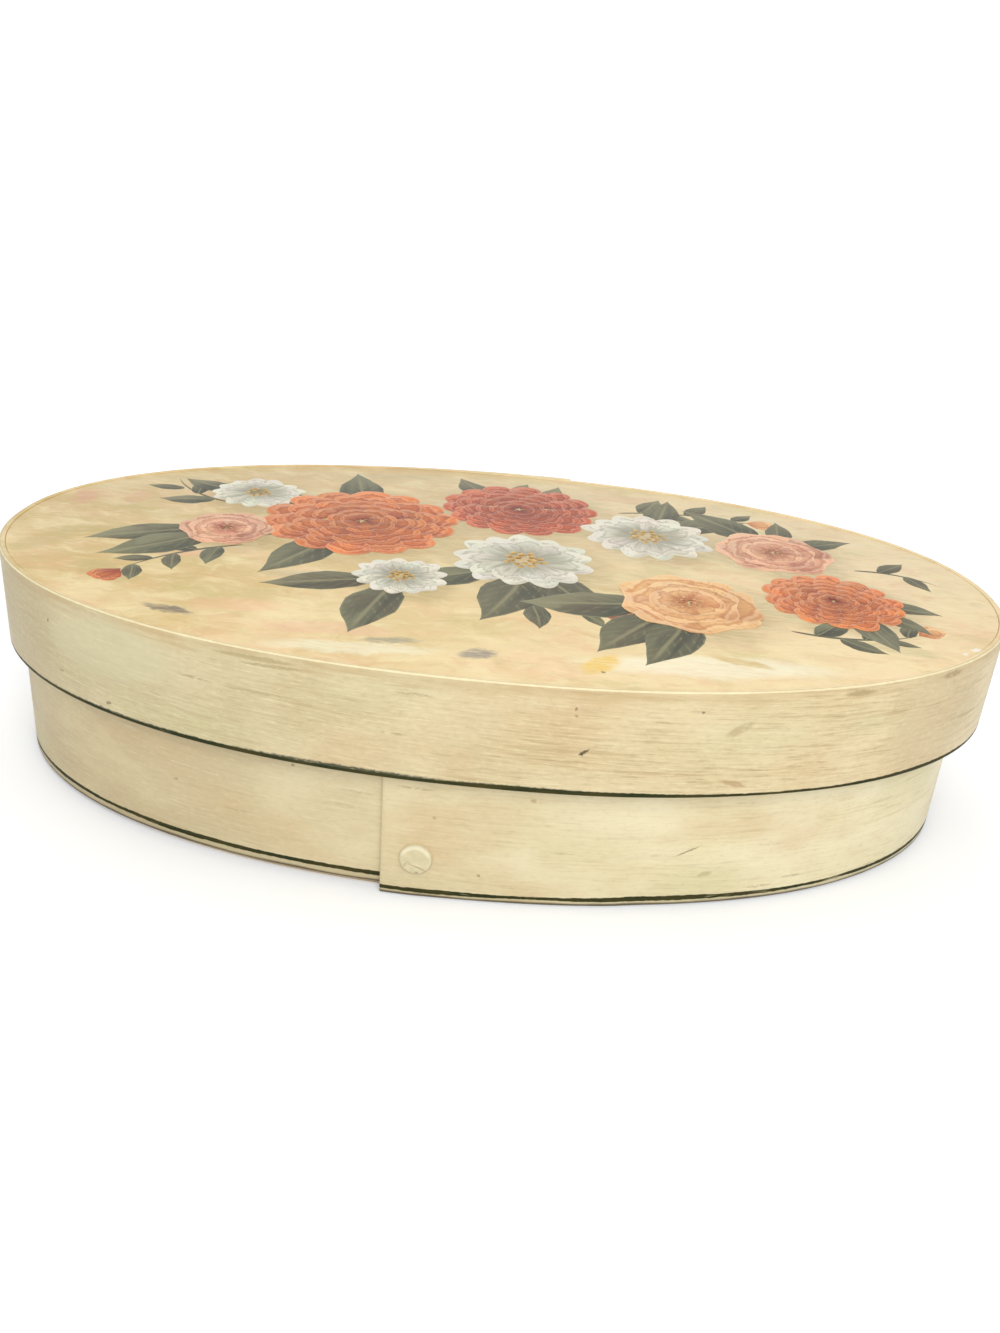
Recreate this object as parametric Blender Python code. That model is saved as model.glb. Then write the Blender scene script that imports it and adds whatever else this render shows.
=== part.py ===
"""Oval bentwood box with a deep lift-off lid.

Each half is a flat board with a thin wooden strip bent round it. A strip goes once round its oval and
its two ends lap: the inner end is planed to a feather, the outer end lies over it, and turned wooden
buttons hold the lap. The lid rests on the rim of the body and stands off its side all round.

The frame is in metres. X runs along the box, the front is at -Y, and Z = 0 is the underside.
"""

import math

import bmesh
import bpy
import numpy as np
from mathutils import Matrix, Vector


# Driving sizes of the whole box
lid_length = 0.400
lid_width = 0.234
total_height = 0.090
oval_exponent = 2.13

# Strips of the body and the lid
band_thickness = 0.0024
lid_band_height = 0.040
body_band_rise = 0.0024
outer_edge_round = 0.0008
inner_edge_round = 0.0003
thinnest_round_share = 0.4

# Lap where a strip's ends meet
seam_from_middle = 0.027
lap_length = 0.075
feather_length = 0.065
feather_tip = 0.0005
settle_length = 0.020

# Boards
board_thickness = 0.005
board_edge_round = 0.0004

# Turned buttons that hold the laps
button_head_diameter = 0.0127
button_head_height = 0.0012
button_head_round = 0.0008
button_shank_diameter = 0.0095
button_shank_chamfer = 0.0004
button_from_seam = 0.0125
button_from_band_edge = 0.0165

# Gaps and play
glue_gap = 0.0003
seat_gap = 0.0003
head_play = 0.0004
lid_push_share = 0.45
cutter_overrun = 0.002

# Fineness of the facets
oval_steps = 160
outline_samples = 4096
outer_edge_steps = 3
closest_station_share = 0.08
inner_edge_steps = 1
settle_steps = 4
button_steps = 32
button_round_steps = 3
sharp_angle = math.radians(35)

# Sizes worked out from the driving sizes
rim_height = total_height - board_thickness - seat_gap
lap_height = band_thickness + glue_gap
lid_clearance = lap_height + seat_gap + button_head_height + head_play
lid_push = lid_clearance * lid_push_share
lid_form_half_length = lid_length / 2 - band_thickness
lid_form_half_width = lid_width / 2 - band_thickness
body_form_half_length = lid_form_half_length - lid_clearance - band_thickness
body_form_half_width = lid_form_half_width - lid_clearance - band_thickness
closest_stations = outer_edge_round * closest_station_share


def remove_all_objects():
    for thing in list(bpy.data.objects):
        bpy.data.objects.remove(thing, do_unlink=True)


def wood_material(name, colour, roughness, metallic=0.0):
    material = bpy.data.materials.new(name)
    material.use_nodes = True
    shader = material.node_tree.nodes["Principled BSDF"]
    shader.inputs["Base Color"].default_value = (*colour, 1.0)
    shader.inputs["Roughness"].default_value = roughness
    shader.inputs["Metallic"].default_value = metallic
    return material


def finished_object(name, bm, material, parent):
    """Turns a bmesh into a smooth-shaded object under its parent, with the mesh in the parent's axes."""
    bmesh.ops.recalc_face_normals(bm, faces=bm.faces)
    mesh = bpy.data.meshes.new(name)
    bm.to_mesh(mesh)
    bm.free()
    mesh.shade_smooth()
    mesh.set_sharp_from_angle(angle=sharp_angle)
    mesh.materials.append(material)
    thing = bpy.data.objects.new(name, mesh)
    thing.parent = parent
    bpy.context.scene.collection.objects.link(thing)
    return thing


def carrier(name, location, turn):
    """An empty that carries one half of the box."""
    empty = bpy.data.objects.new(name, None)
    empty.location = location
    empty.rotation_euler = (0.0, 0.0, turn)
    bpy.context.scene.collection.objects.link(empty)
    return empty


def smooth_step(share):
    """Goes from 0 to 1 with a level start and finish."""
    return share**2 * (3.0 - 2.0 * share)


class Oval:
    """A superellipse, measured by the distance travelled round it anticlockwise from the seam."""

    def __init__(self, half_length, half_width):
        self.half_length = half_length
        self.half_width = half_width
        angles = np.linspace(0.0, 2 * math.pi, outline_samples + 1)
        cosines = np.cos(angles)
        sines = np.sin(angles)
        power = 2 / oval_exponent
        self.along = half_length * np.sign(cosines) * np.abs(cosines) ** power
        self.across = half_width * np.sign(sines) * np.abs(sines) ** power
        steps = np.hypot(np.diff(self.along), np.diff(self.across))
        self.travel = np.concatenate([[0.0], np.cumsum(steps)])
        self.length = self.travel[-1]
        front = angles >= math.pi
        self.seam = np.interp(-seam_from_middle, self.along[front], self.travel[front])

    def point(self, distance, offset=0.0):
        """The point at a distance from the seam, moved outward by an offset."""
        travelled = (self.seam + distance) % self.length
        x = np.interp(travelled, self.travel, self.along)
        y = np.interp(travelled, self.travel, self.across)
        slope_x = math.copysign(abs(x / self.half_length) ** (oval_exponent - 1), x) / self.half_length
        slope_y = math.copysign(abs(y / self.half_width) ** (oval_exponent - 1), y) / self.half_width
        steepness = math.hypot(slope_x, slope_y)
        return Vector((x + offset * slope_x / steepness, y + offset * slope_y / steepness, 0.0))


class Strip:
    """A wooden strip bent once round an oval, from its outer end at the seam to its feathered inner end."""

    def __init__(self, oval, bottom, top, rise):
        self.oval = oval
        self.bottom = bottom
        self.top = top
        self.rise = rise
        self.length = oval.length + lap_length

    def thickness(self, distance):
        """Full thickness, thinned to a feather at the inner end and rounded at the outer end."""
        feather_share = min((self.length - distance) / feather_length, 1.0)
        thickness = feather_tip + (band_thickness - feather_tip) * feather_share
        if distance < outer_edge_round:
            to_full = outer_edge_round - distance
            thickness -= outer_edge_round - math.sqrt(outer_edge_round**2 - to_full**2)
        return thickness

    def stand_off(self, distance):
        """How far the strip's inner face stands off the form as it comes down from the lap."""
        beneath = self.oval.length + min(distance, lap_length)
        height = self.thickness(beneath) + glue_gap
        settled_share = min(max((distance - lap_length) / settle_length, 0.0), 1.0)
        return height * (1.0 - smooth_step(settled_share))

    def outer_face(self, distance):
        return self.oval.point(distance, self.stand_off(distance) + self.thickness(distance))

    def stations(self):
        """Distances of the cross-sections: the same ones in both layers of the lap."""
        marks = [self.oval.length * step / oval_steps for step in range(oval_steps)]
        marks += [settle_length * step / settle_steps + lap_length for step in range(settle_steps + 1)]
        marks.append(max(lap_length - feather_length, 0.0))
        for step in range(outer_edge_steps + 1):
            angle = math.pi / 2 * step / outer_edge_steps
            marks.append(outer_edge_round * (1.0 - math.cos(angle)))
        kept = [0.0]
        for mark in sorted(marks):
            if mark - kept[-1] > closest_stations:
                kept.append(mark)
        inner_end = [self.oval.length + mark for mark in kept if mark < lap_length - closest_stations]
        return kept + inner_end + [self.length]

    def section(self, distance):
        """Outline of the strip's cross-section, as outward and upward places, with rounded long edges."""
        inner = self.stand_off(distance)
        outer = inner + self.thickness(distance)
        bottom = self.bottom + self.rise * distance / self.length
        limit = self.thickness(distance) * thinnest_round_share
        outer_round = min(outer_edge_round, limit)
        inner_round = min(inner_edge_round, limit)
        corners = [
            (outer - outer_round, bottom + outer_round, outer_round, outer_edge_steps, -math.pi / 2),
            (outer - outer_round, self.top - outer_round, outer_round, outer_edge_steps, 0.0),
            (inner + inner_round, self.top - inner_round, inner_round, inner_edge_steps, math.pi / 2),
            (inner + inner_round, bottom + inner_round, inner_round, inner_edge_steps, math.pi),
        ]
        outline = []
        for outward, upward, radius, steps, first_angle in corners:
            for step in range(steps + 1):
                angle = first_angle + math.pi / 2 * step / steps
                outline.append((outward + radius * math.cos(angle), upward + radius * math.sin(angle)))
        return [self.oval.point(distance, outward) + Vector((0.0, 0.0, up)) for outward, up in outline]


def bent_strip(strip):
    """Extrudes the strip's cross-section from station to station, and closes both ends."""
    bm = bmesh.new()
    place = bm.verts.layers.int.new("place in section")
    stations = strip.stations()
    ring = [bm.verts.new(corner) for corner in strip.section(stations[0])]
    for number, vert in enumerate(ring):
        vert[place] = number
    edges = [bm.edges.new((ring[number - 1], ring[number])) for number in range(len(ring))]
    bmesh.ops.edgeloop_fill(bm, edges=edges)
    for distance in stations[1:]:
        made = bmesh.ops.extrude_edge_only(bm, edges=edges)["geom"]
        section = strip.section(distance)
        for item in made:
            if isinstance(item, bmesh.types.BMVert):
                item.co = section[item[place]]
        edges = [item for item in made if isinstance(item, bmesh.types.BMEdge)]
    bmesh.ops.edgeloop_fill(bm, edges=edges)
    return bm


def oval_board(oval, underside):
    """A flat board that fills its oval but for the glue line, with its two edges eased."""
    bm = bmesh.new()
    distances = [oval.length * step / oval_steps for step in range(oval_steps)]
    rise = Vector((0.0, 0.0, underside))
    outline = [bm.verts.new(oval.point(distance, -glue_gap) + rise) for distance in distances]
    face = bm.faces.new(outline)
    made = bmesh.ops.extrude_face_region(bm, geom=[face])["geom"]
    top = [item for item in made if isinstance(item, bmesh.types.BMVert)]
    bmesh.ops.translate(bm, verts=top, vec=(0.0, 0.0, board_thickness))
    rims = [edge for edge in bm.edges if edge.verts[0].co.z == edge.verts[1].co.z]
    bmesh.ops.bevel(
        bm, geom=rims, offset=board_edge_round, segments=1, profile=0.5, affect="EDGES", material=-1
    )
    return bm


def turned_button(shank_length):
    """A turned button along +Z: a low round head above Z = 0, and a shank that goes through the lap."""
    head_radius = button_head_diameter / 2
    shank_radius = button_shank_diameter / 2
    profile = [
        (0.0, -shank_length),
        (shank_radius - button_shank_chamfer, -shank_length),
        (shank_radius, button_shank_chamfer - shank_length),
        (shank_radius, seat_gap),
        (head_radius, seat_gap),
    ]
    for step in range(button_round_steps + 1):
        angle = math.pi / 2 * step / button_round_steps
        across = head_radius - button_head_round * (1.0 - math.cos(angle))
        up = seat_gap + button_head_height - button_head_round * (1.0 - math.sin(angle))
        profile.append((across, up))
    profile.append((0.0, seat_gap + button_head_height))
    bm = bmesh.new()
    verts = [bm.verts.new((across, 0.0, up)) for across, up in profile]
    edges = [bm.edges.new(pair) for pair in zip(verts, verts[1:])]
    bmesh.ops.spin(
        bm,
        geom=verts + edges,
        cent=(0.0, 0.0, 0.0),
        axis=(0.0, 0.0, 1.0),
        angle=2 * math.pi,
        steps=button_steps,
        use_merge=True,
    )
    bmesh.ops.remove_doubles(bm, verts=bm.verts, dist=button_shank_chamfer / button_steps)
    return bm


def add_lap_button(name, band, strip, height, material, parent):
    """Sets a button square to the outer face of the lap, and bores the hole for its shank."""
    before = strip.outer_face(button_from_seam - button_head_diameter / 2)
    after = strip.outer_face(button_from_seam + button_head_diameter / 2)
    along = (after - before).normalized()
    outward = along.cross(Vector((0.0, 0.0, 1.0)))
    turn = Matrix((along, outward.cross(along), outward)).transposed().to_euler()
    seat = strip.outer_face(button_from_seam) + Vector((0.0, 0.0, height))
    shank_length = strip.stand_off(button_from_seam) + strip.thickness(button_from_seam)
    button = finished_object(name, turned_button(shank_length), material, parent)
    button.location = seat
    button.rotation_euler = turn

    hole = bmesh.new()
    bmesh.ops.create_cone(
        hole,
        cap_ends=True,
        segments=button_steps,
        radius1=button_shank_diameter / 2 + seat_gap,
        radius2=button_shank_diameter / 2 + seat_gap,
        depth=2 * (shank_length + cutter_overrun),
    )
    cutter = finished_object(name + "_hole", hole, material, parent)
    cutter.location = seat
    cutter.rotation_euler = turn
    cutter.hide_render = True
    cutter.display_type = "WIRE"
    cut = band.modifiers.new("hole for " + name, "BOOLEAN")
    cut.operation = "DIFFERENCE"
    cut.object = cutter


remove_all_objects()

cream_paint = wood_material("cream painted strip", (0.72, 0.63, 0.39), 0.42)
lid_paint = wood_material("varnished painted lid", (0.78, 0.66, 0.44), 0.22)
bare_wood = wood_material("pale bare wood", (0.66, 0.50, 0.31), 0.60)

# Body: base board, bent strip that stands on the floor at its outer end, and two buttons down the lap
body = carrier("body", (0.0, 0.0, 0.0), 0.0)
body_form = Oval(body_form_half_length, body_form_half_width)
body_strip = Strip(body_form, 0.0, rim_height, body_band_rise)
finished_object("base_board", oval_board(body_form, 0.0), bare_wood, body)
body_band = finished_object("body_band", bent_strip(body_strip), cream_paint, body)
body_button_heights = {"lower": button_from_band_edge, "upper": rim_height - button_from_band_edge}
for place, height in body_button_heights.items():
    add_lap_button("body_lap_button_" + place, body_band, body_strip, height, cream_paint, body)

# Lid: turned half a turn so that its lap is at the back, and pushed to the right by part of its play
lid = carrier("lid", (lid_push, 0.0, rim_height + seat_gap), math.pi)
lid_form = Oval(lid_form_half_length, lid_form_half_width)
lid_strip = Strip(lid_form, board_thickness - lid_band_height, board_thickness, 0.0)
finished_object("lid_board", oval_board(lid_form, 0.0), lid_paint, lid)
lid_band = finished_object("lid_band", bent_strip(lid_strip), cream_paint, lid)
lid_button_height = board_thickness - lid_band_height / 2
add_lap_button("lid_lap_button", lid_band, lid_strip, lid_button_height, cream_paint, lid)
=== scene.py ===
import math
import random

import bmesh
import bpy
from mathutils import Matrix, Vector, noise


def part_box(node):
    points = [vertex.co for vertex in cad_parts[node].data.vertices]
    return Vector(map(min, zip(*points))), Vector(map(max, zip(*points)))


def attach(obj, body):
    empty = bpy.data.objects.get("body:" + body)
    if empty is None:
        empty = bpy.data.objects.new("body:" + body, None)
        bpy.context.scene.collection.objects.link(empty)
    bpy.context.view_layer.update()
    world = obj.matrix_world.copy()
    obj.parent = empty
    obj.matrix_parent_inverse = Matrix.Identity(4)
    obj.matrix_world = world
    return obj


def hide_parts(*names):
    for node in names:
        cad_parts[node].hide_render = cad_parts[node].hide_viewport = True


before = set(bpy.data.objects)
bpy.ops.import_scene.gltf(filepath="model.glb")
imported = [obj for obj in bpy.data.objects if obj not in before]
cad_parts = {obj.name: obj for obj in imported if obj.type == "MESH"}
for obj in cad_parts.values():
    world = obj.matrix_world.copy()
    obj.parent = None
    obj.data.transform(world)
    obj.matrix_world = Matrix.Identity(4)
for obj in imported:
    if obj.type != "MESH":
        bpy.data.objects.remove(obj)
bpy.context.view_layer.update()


# Base board
# A flat oval board of pale basswood, sawn out and sanded, that lies inside the foot of the body.
# Its edge is glued to the bent strip, and its underside is what the box stands on.

oval_exponent = 2.13
seam_from_middle = 0.027
glue_gap = 0.0003
outline_samples = 4096
board_steps = 640
board_edge_round = 0.0004
close_fit = 0.00005


class Oval:
    """A superellipse, measured by the distance travelled round it anticlockwise from the seam."""

    def __init__(self, low, high, grow, turned):
        self.centre = (low + high) / 2
        self.centre.z = 0.0
        self.sign = -1.0 if turned else 1.0
        self.half_length = (high.x - low.x) / 2 + grow
        self.half_width = (high.y - low.y) / 2 + grow
        steps = range(outline_samples + 1)
        self.marks = [self.corner(2 * math.pi * step / outline_samples) for step in steps]
        self.travel = [0.0]
        for before, after in zip(self.marks, self.marks[1:]):
            self.travel.append(self.travel[-1] + (after - before).length)
        self.length = self.travel[-1]
        front = outline_samples // 2
        while self.marks[front].x < -seam_from_middle:
            front += 1
        self.seam = self.travel[front]

    def corner(self, angle):
        cosine, sine = math.cos(angle), math.sin(angle)
        power = 2 / oval_exponent
        return Vector((
            math.copysign(abs(cosine) ** power, cosine) * self.half_length,
            math.copysign(abs(sine) ** power, sine) * self.half_width,
            0.0,
        ))

    def point(self, distance, offset=0.0):
        """The point at a distance from the seam, moved outward by an offset."""
        travelled = (self.seam + distance) % self.length
        low, high = 0, outline_samples
        while high - low > 1:
            middle = (low + high) // 2
            if self.travel[middle] <= travelled:
                low = middle
            else:
                high = middle
        share = (travelled - self.travel[low]) / (self.travel[high] - self.travel[low])
        place = self.marks[low].lerp(self.marks[high], share)
        slope = Vector((
            math.copysign(abs(place.x / self.half_length) ** (oval_exponent - 1), place.x) / self.half_length,
            math.copysign(abs(place.y / self.half_width) ** (oval_exponent - 1), place.y) / self.half_width,
            0.0,
        ))
        return self.centre + self.sign * (place + offset * slope.normalized())


def new_node(tree, kind, inputs=None, **settings):
    """Adds a node, sets its properties, and fills its inputs with values or with other nodes' outputs."""
    node = tree.nodes.new(kind)
    for name, value in settings.items():
        setattr(node, name, value)
    for name, value in (inputs or {}).items():
        if isinstance(value, bpy.types.NodeSocket):
            tree.links.new(value, node.inputs[name])
        else:
            node.inputs[name].default_value = value
    return node


def placed(tree, vector, scale, location=(0.0, 0.0, 0.0), rotation=(0.0, 0.0, 0.0), kind="POINT"):
    values = {"Vector": vector, "Scale": scale, "Location": location, "Rotation": rotation}
    return new_node(tree, "ShaderNodeMapping", values, vector_type=kind).outputs["Vector"]


def cloud(tree, vector, scale, detail=4.0, roughness=0.5, distortion=0.0, shift=(0.0, 0.0, 0.0), turn=0.0):
    """A cloudy pattern. Scale is how fine it is along each axis."""
    values = {
        "Vector": placed(tree, vector, scale, shift, (0.0, 0.0, turn)),
        "Scale": 1.0,
        "Detail": detail,
        "Roughness": roughness,
        "Distortion": distortion,
    }
    return new_node(tree, "ShaderNodeTexNoise", values).outputs["Fac"]


def ease(tree, value, low, high, to_low=0.0, to_high=1.0):
    values = {"Value": value, "From Min": low, "From Max": high, "To Min": to_low, "To Max": to_high}
    made = new_node(tree, "ShaderNodeMapRange", values, interpolation_type="SMOOTHSTEP")
    return made.outputs["Result"]


def maths(tree, operation, first, second=0.0):
    made = new_node(tree, "ShaderNodeMath", {0: first, 1: second}, operation=operation)
    return made.outputs["Value"]


def times(tree, first, second):
    return maths(tree, "MULTIPLY", first, second)


def plus(tree, first, second):
    return maths(tree, "ADD", first, second)


def minus(tree, first, second):
    return maths(tree, "SUBTRACT", first, second)


def length_of(tree, vector):
    return new_node(tree, "ShaderNodeVectorMath", {0: vector}, operation="LENGTH").outputs["Value"]


def layered(tree, factor, under, over):
    """Lays one colour over another. A colour is three numbers or another node's output."""
    inputs = {0: factor}
    for place, colour in ((6, under), (7, over)):
        inputs[place] = colour if isinstance(colour, bpy.types.NodeSocket) else (*colour, 1.0)
    return new_node(tree, "ShaderNodeMix", inputs, data_type="RGBA").outputs[2]


def loosened(tree, vector, scale, reach):
    """Shifts a pattern unevenly, as a loaded brush does."""
    ragged = new_node(tree, "ShaderNodeTexNoise", {"Vector": vector, "Scale": scale, "Detail": 3.0})
    centred = {0: ragged.outputs["Color"], 1: (0.5, 0.5, 0.5)}
    shift = new_node(tree, "ShaderNodeVectorMath", centred, operation="SUBTRACT").outputs["Vector"]
    nudge = new_node(tree, "ShaderNodeVectorMath", {0: shift, "Scale": reach}, operation="SCALE")
    moved = {0: vector, 1: nudge.outputs["Vector"]}
    return new_node(tree, "ShaderNodeVectorMath", moved, operation="ADD").outputs["Vector"]


def spotted(tree, colour, vector, ragged, marks):
    """Lays single marks over a colour. Each has a place, a turn, a length, a width, a paint and its cover."""
    for across, up, turn, length, width, paint, cover in marks:
        turned = (0.0, 0.0, math.radians(turn))
        spot = placed(tree, vector, (length, width, 1.0), (across, up, 0.0), turned, "TEXTURE")
        flat = new_node(tree, "ShaderNodeVectorMath", {0: spot, 1: (1.0, 1.0, 0.0)}, operation="MULTIPLY")
        reach = length_of(tree, flat.outputs["Vector"])
        spread = times(tree, ease(tree, reach, 0.30, 0.60, cover, 0.0), ragged)
        colour = layered(tree, spread, colour, paint)
    return colour


def cells(tree, vector, scale):
    """Scattered cells: how far a point is from its cell's middle, and three random numbers for each cell."""
    made = new_node(tree, "ShaderNodeTexVoronoi", {"Vector": placed(tree, vector, scale), "Scale": 1.0})
    picked = new_node(tree, "ShaderNodeSeparateColor", {"Color": made.outputs["Color"]})
    return made.outputs["Distance"], picked.outputs


def surface_uv(tree):
    return new_node(tree, "ShaderNodeUVMap", uv_map="surface").outputs["UV"]


def object_place(tree):
    return new_node(tree, "ShaderNodeTexCoord").outputs["Object"]


def part_of(tree, vector, axis):
    return new_node(tree, "ShaderNodeSeparateXYZ", {"Vector": vector}).outputs[axis]


def painted_value(tree, name, output):
    """Reads what a mesh carries at its points: a number, a colour or a vector."""
    return new_node(tree, "ShaderNodeAttribute", attribute_name=name).outputs[output]


def start_material(name, **values):
    """A Principled material, with the values that are the same all over set on the shader itself."""
    material = bpy.data.materials.new(name)
    material.use_nodes = True
    shader = material.node_tree.nodes["Principled BSDF"]
    for socket, value in values.items():
        shader.inputs[socket.replace("_", " ")].default_value = value
    return material, material.node_tree, shader


def finish_material(tree, shader, colour, roughness, height, depth):
    """Joins the painted colour, the roughness and the relief to the shader."""
    bump = new_node(tree, "ShaderNodeBump", {"Height": height, "Distance": depth, "Strength": 1.0})
    tree.links.new(colour, shader.inputs["Base Color"])
    tree.links.new(roughness, shader.inputs["Roughness"])
    tree.links.new(bump.outputs["Normal"], shader.inputs["Normal"])


def bare_wood_material(name, follow_strip):
    """Basswood with fine straight grain: along X on a board, or along the strip on a bent one."""
    material, tree, shader = start_material(name, Specular_IOR_Level=0.35)
    vector = surface_uv(tree) if follow_strip else object_place(tree)
    fibres = cloud(tree, vector, (18.0, 900.0, 900.0), 5.0, 0.6)
    grain = cloud(tree, vector, (4.0, 110.0, 110.0), 3.0, 0.5, 0.6)
    patches = cloud(tree, vector, (9.0, 22.0, 22.0), 3.0)
    colour = layered(tree, ease(tree, grain, 0.35, 0.65), (0.60, 0.45, 0.27), (0.69, 0.54, 0.34))
    colour = layered(tree, ease(tree, fibres, 0.45, 0.75, 0.0, 0.35), colour, (0.45, 0.30, 0.16))
    colour = layered(tree, ease(tree, patches, 0.5, 0.8, 0.0, 0.4), colour, (0.55, 0.39, 0.22))
    roughness = ease(tree, fibres, 0.3, 0.7, 0.52, 0.68)
    finish_material(tree, shader, colour, roughness, fibres, 0.00012)
    return material


def finished_piece(name, bm, materials, body, node):
    """Makes the smooth-shaded piece that rides on a body and stands for a CAD node."""
    mesh = bpy.data.meshes.new(name)
    bm.to_mesh(mesh)
    bm.free()
    mesh.shade_smooth()
    mesh.set_sharp_from_angle(angle=math.radians(40))
    for material in materials:
        mesh.materials.append(material)
    piece = bpy.data.objects.new(name, mesh)
    bpy.context.scene.collection.objects.link(piece)
    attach(piece, body)
    if node:
        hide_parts(node)


def oval_board(oval, low, high, slots):
    """A flat oval board with eased edges. Slots are the materials of its top and of the rest."""
    bm = bmesh.new()
    outline = bmesh.ops.create_circle(bm, cap_ends=True, segments=board_steps, radius=1.0)["verts"]
    for step, vert in enumerate(outline):
        vert.co = oval.point(oval.length * step / board_steps, -close_fit) + Vector((0.0, 0.0, low))
    made = bmesh.ops.extrude_face_region(bm, geom=bm.faces[:])["geom"]
    raised = [item for item in made if isinstance(item, bmesh.types.BMVert)]
    bmesh.ops.translate(bm, verts=raised, vec=(0.0, 0.0, high - low))
    rims = [edge for edge in bm.edges if abs(edge.verts[0].co.z - edge.verts[1].co.z) < close_fit]
    bmesh.ops.bevel(
        bm, geom=rims, offset=board_edge_round, segments=3, profile=0.5, affect="EDGES", material=-1
    )
    bmesh.ops.recalc_face_normals(bm, faces=bm.faces)
    for face in bm.faces:
        on_top = face.calc_center_median().z > high - 2 * board_edge_round
        face.material_index = slots[0] if on_top else slots[1]
    return bm


board_wood = bare_wood_material("sanded basswood board", False)
base_low, base_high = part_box("base_board")
body_oval = Oval(base_low, base_high, glue_gap, False)
base_board = oval_board(body_oval, base_low.z, base_high.z, (0, 0))
finished_piece("base_board_sanded", base_board, [board_wood], "body", "base_board")


# Body strip
# One strip of basswood, steamed and bent once round the base board. Its outer end lies over the inner
# end, which is planed to a feather. Outside it is painted cream, with a dark green line by its foot.

strip_thickness = 0.0024
strip_step = 0.0016
edge_round = 0.0008
edge_steps = 4
lap_length = 0.075
feather_length = 0.065
feather_tip = 0.0005
settle_length = 0.020
body_rise = 0.0024
hand_wave = 0.00012
edge_wave = 0.00015
wave_length = 0.055


def smooth_share(share):
    share = min(max(share, 0.0), 1.0)
    return share**2 * (3.0 - 2.0 * share)


class Strip:
    """A wooden strip bent once round an oval, from its outer end at the seam to its feathered inner end."""

    def __init__(self, oval, bottom, top, rise):
        self.oval = oval
        self.bottom = bottom
        self.top = top
        self.rise = rise
        self.length = oval.length + lap_length

    def thickness(self, distance):
        feather_share = min((self.length - distance) / feather_length, 1.0)
        thickness = feather_tip + (strip_thickness - feather_tip) * feather_share
        if distance < edge_round:
            thickness -= edge_round - math.sqrt(edge_round**2 - (edge_round - distance) ** 2)
        return thickness

    def stand_off(self, distance):
        beneath = self.oval.length + min(distance, lap_length)
        height = self.thickness(beneath) + glue_gap
        return height * (1.0 - smooth_share((distance - lap_length) / settle_length))

    def outer_face(self, distance):
        return self.oval.point(distance, self.stand_off(distance) + self.thickness(distance))

    def foot(self, distance):
        """Height of the lower edge, which climbs steadily along the strip."""
        return self.bottom + self.rise * distance / self.length

    def section(self, distance):
        """Outline of the cross-section with rounded long edges, a little uneven as planed by hand."""
        wave = hand_wave * noise.noise((distance / wave_length, 0.0, self.top))
        foot = self.foot(distance) + edge_wave * (1.0 + noise.noise((distance / wave_length, self.top, 0.0)))
        inner = self.stand_off(distance)
        outer = inner + self.thickness(distance)
        radius = min(edge_round, self.thickness(distance) * 0.4)
        corners = (
            (outer - radius, foot + radius, -math.pi / 2, radius),
            (outer - radius, self.top - radius, 0.0, radius),
            (inner + radius / 2, self.top - radius / 2, math.pi / 2, radius / 2),
            (inner + radius / 2, foot + radius / 2, math.pi, radius / 2),
        )
        outline = []
        for outward, upward, first, reach in corners:
            for step in range(edge_steps + 1):
                angle = first + math.pi / 2 * step / edge_steps
                outline.append((outward + reach * math.cos(angle), upward + reach * math.sin(angle)))
        outline.insert(edge_steps + 1, (outer, (self.top + foot) / 2))
        return [self.oval.point(distance, out - wave) + Vector((0.0, 0.0, up)) for out, up in outline]

    def stations(self):
        count = round(self.length / strip_step)
        ends = [edge_round * (1.0 - math.cos(math.pi / 2 * step / edge_steps)) for step in range(edge_steps)]
        return ends + [self.length * step / count for step in range(1, count + 1)]


def bent_strip(strip, top_slot):
    """Extrudes the section from station to station. Slot 0 is the painted outside, slot 1 the bare inside.

    Its UV map holds the distance along the strip and the height above its foot.
    """
    bm = bmesh.new()
    surface = bm.loops.layers.uv.new("surface")
    place = bm.verts.layers.int.new("place in section")
    along = bm.verts.layers.float.new("distance along the strip")
    arris_highlight = bm.verts.layers.float.new("arris highlight")
    arris = edge_steps + 2
    inner_top = arris + 2 * edge_steps + 1
    stations = strip.stations()
    ring = [bm.verts.new(corner) for corner in strip.section(stations[0])]
    for number, vert in enumerate(ring):
        vert[place] = number
        # The rounded top outer arris carries a painted highlight, strongest at the middle of its round.
        if arris < number < arris + edge_steps:
            vert[arris_highlight] = math.sin(math.pi * (number - arris) / edge_steps)
    edges = [bm.edges.new((ring[number - 1], ring[number])) for number in range(len(ring))]
    bmesh.ops.edgeloop_fill(bm, edges=edges)
    for distance in stations[1:]:
        made = bmesh.ops.extrude_edge_only(bm, edges=edges)["geom"]
        section = strip.section(distance)
        for item in made:
            if isinstance(item, bmesh.types.BMVert):
                item.co = section[item[place]]
                item[along] = distance
        edges = [item for item in made if isinstance(item, bmesh.types.BMEdge)]
    bmesh.ops.edgeloop_fill(bm, edges=edges)
    bmesh.ops.recalc_face_normals(bm, faces=bm.faces)
    for face in bm.faces:
        places = {vert[place] for vert in face.verts}
        if places == {inner_top, inner_top + 1}:
            face.material_index = 1
        elif min(places) >= arris + edge_steps and max(places) <= inner_top:
            face.material_index = top_slot
        for corner in face.loops:
            vert = corner.vert
            corner[surface].uv = (vert[along], vert.co.z - strip.foot(vert[along]))
    return bm


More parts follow.
